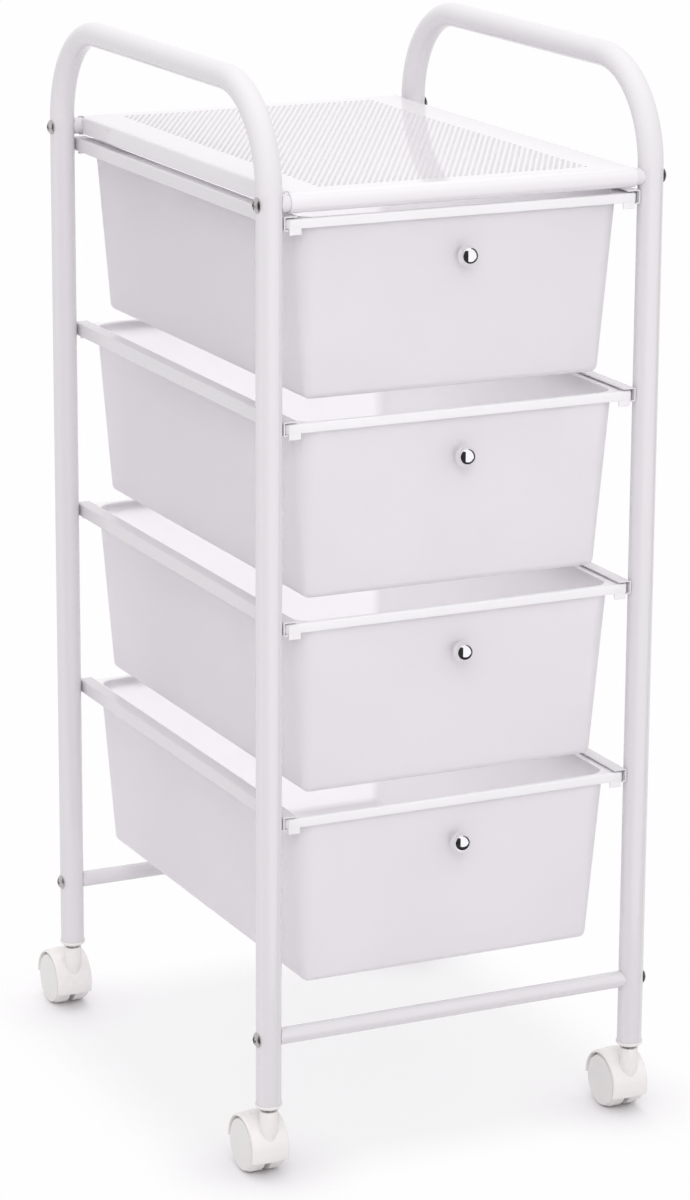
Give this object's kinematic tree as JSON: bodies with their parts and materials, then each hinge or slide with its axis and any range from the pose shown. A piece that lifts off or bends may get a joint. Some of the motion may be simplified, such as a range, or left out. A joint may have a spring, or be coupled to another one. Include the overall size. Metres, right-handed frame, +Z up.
{
  "type": "rolling storage cart",
  "caption": "White rolling storage cart: bent tube frame with push handles, perforated metal top shelf, frosted plastic drawers with chrome knobs, twin-wheel casters",
  "frame": {"origin": "On the floor, under the middle of the cart's own box", "axes": "+Z up and along the height, +X from the left side frame to the right one, drawers open towards -Y"},
  "size_m": [0.3348, 0.4474, 0.8195],
  "materials": {
    "powder_coat": "gloss white powder coat",
    "steel": "nickel-plated steel",
    "frosted_plastic": "frosted translucent moulding",
    "chrome": "polished chrome",
    "caster_plastic": "warm white moulding"
  },
  "bodies": {
    "frame": {"side_frame_left": "powder_coat", "side_frame_right": "powder_coat", "shelf_front_rail": "powder_coat", "shelf_rear_rail": "powder_coat", "base_front_rail": "powder_coat", "base_rear_rail": "powder_coat", "shelf_panel": "powder_coat", "frame_screws": "steel", "rail_inserts": "steel", "runner_left_1": "powder_coat", "runner_left_2": "powder_coat", "runner_left_3": "powder_coat", "runner_left_4": "powder_coat", "runner_right_1": "powder_coat", "runner_right_2": "powder_coat", "runner_right_3": "powder_coat", "runner_right_4": "powder_coat", "socket_fl": "caster_plastic", "socket_fr": "caster_plastic", "socket_rl": "caster_plastic", "socket_rr": "caster_plastic"},
    "drawer_body_1": {"drawer_1": "frosted_plastic", "knob_1": "chrome", "knob_screw_1": "steel"},
    "drawer_body_2": {"drawer_2": "frosted_plastic", "knob_2": "chrome", "knob_screw_2": "steel"},
    "drawer_body_3": {"drawer_3": "frosted_plastic", "knob_3": "chrome", "knob_screw_3": "steel"},
    "drawer_body_4": {"drawer_4": "frosted_plastic", "knob_4": "chrome", "knob_screw_4": "steel"},
    "swivel_fl": {"hood_fl": "caster_plastic", "stem_fl": "steel", "axle_fl": "steel"},
    "roller_fl_left": {"wheel_fl_left": "caster_plastic"},
    "roller_fl_right": {"wheel_fl_right": "caster_plastic"},
    "swivel_fr": {"hood_fr": "caster_plastic", "stem_fr": "steel", "axle_fr": "steel"},
    "roller_fr_left": {"wheel_fr_left": "caster_plastic"},
    "roller_fr_right": {"wheel_fr_right": "caster_plastic"},
    "swivel_rl": {"hood_rl": "caster_plastic", "stem_rl": "steel", "axle_rl": "steel"},
    "roller_rl_left": {"wheel_rl_left": "caster_plastic"},
    "roller_rl_right": {"wheel_rl_right": "caster_plastic"},
    "swivel_rr": {"hood_rr": "caster_plastic", "stem_rr": "steel", "axle_rr": "steel"},
    "roller_rr_left": {"wheel_rr_left": "caster_plastic"},
    "roller_rr_right": {"wheel_rr_right": "caster_plastic"}
  },
  "joints": [
    {"name": "drawer_slide_1", "type": "slide", "parent": "frame", "child": "drawer_body_1", "axis": [0, -1, 0], "range_m": [0, 0.3]},
    {"name": "drawer_slide_2", "type": "slide", "parent": "frame", "child": "drawer_body_2", "axis": [0, -1, 0], "range_m": [0, 0.3]},
    {"name": "drawer_slide_3", "type": "slide", "parent": "frame", "child": "drawer_body_3", "axis": [0, -1, 0], "range_m": [0, 0.3]},
    {"name": "drawer_slide_4", "type": "slide", "parent": "frame", "child": "drawer_body_4", "axis": [0, -1, 0], "range_m": [0, 0.3]},
    {"name": "swivel_joint_fl", "type": "hinge", "parent": "frame", "child": "swivel_fl", "pos_m": [-0.1525, -0.20741, 0.059], "axis": [0, 0, 1], "continuous": true},
    {"name": "roll_fl_left", "type": "hinge", "parent": "swivel_fl", "child": "roller_fl_left", "pos_m": [-0.1525, -0.1889, 0.021], "axis": [1, 0, 0], "continuous": true},
    {"name": "roll_fl_right", "type": "hinge", "parent": "swivel_fl", "child": "roller_fl_right", "pos_m": [-0.1525, -0.1889, 0.021], "axis": [1, 0, 0], "continuous": true},
    {"name": "swivel_joint_fr", "type": "hinge", "parent": "frame", "child": "swivel_fr", "pos_m": [0.1525, -0.20741, 0.059], "axis": [0, 0, 1], "continuous": true},
    {"name": "roll_fr_left", "type": "hinge", "parent": "swivel_fr", "child": "roller_fr_left", "pos_m": [0.1525, -0.1889, 0.021], "axis": [1, 0, 0], "continuous": true},
    {"name": "roll_fr_right", "type": "hinge", "parent": "swivel_fr", "child": "roller_fr_right", "pos_m": [0.1525, -0.1889, 0.021], "axis": [1, 0, 0], "continuous": true},
    {"name": "swivel_joint_rl", "type": "hinge", "parent": "frame", "child": "swivel_rl", "pos_m": [-0.1525, 0.1806, 0.059], "axis": [0, 0, 1], "continuous": true},
    {"name": "roll_rl_left", "type": "hinge", "parent": "swivel_rl", "child": "roller_rl_left", "pos_m": [-0.1525, 0.19909, 0.021], "axis": [1, 0, 0], "continuous": true},
    {"name": "roll_rl_right", "type": "hinge", "parent": "swivel_rl", "child": "roller_rl_right", "pos_m": [-0.1525, 0.19909, 0.021], "axis": [1, 0, 0], "continuous": true},
    {"name": "swivel_joint_rr", "type": "hinge", "parent": "frame", "child": "swivel_rr", "pos_m": [0.1525, 0.1806, 0.059], "axis": [0, 0, 1], "continuous": true},
    {"name": "roll_rr_left", "type": "hinge", "parent": "swivel_rr", "child": "roller_rr_left", "pos_m": [0.1525, 0.19909, 0.021], "axis": [1, 0, 0], "continuous": true},
    {"name": "roll_rr_right", "type": "hinge", "parent": "swivel_rr", "child": "roller_rr_right", "pos_m": [0.1525, 0.19909, 0.021], "axis": [1, 0, 0], "continuous": true}
  ]
}
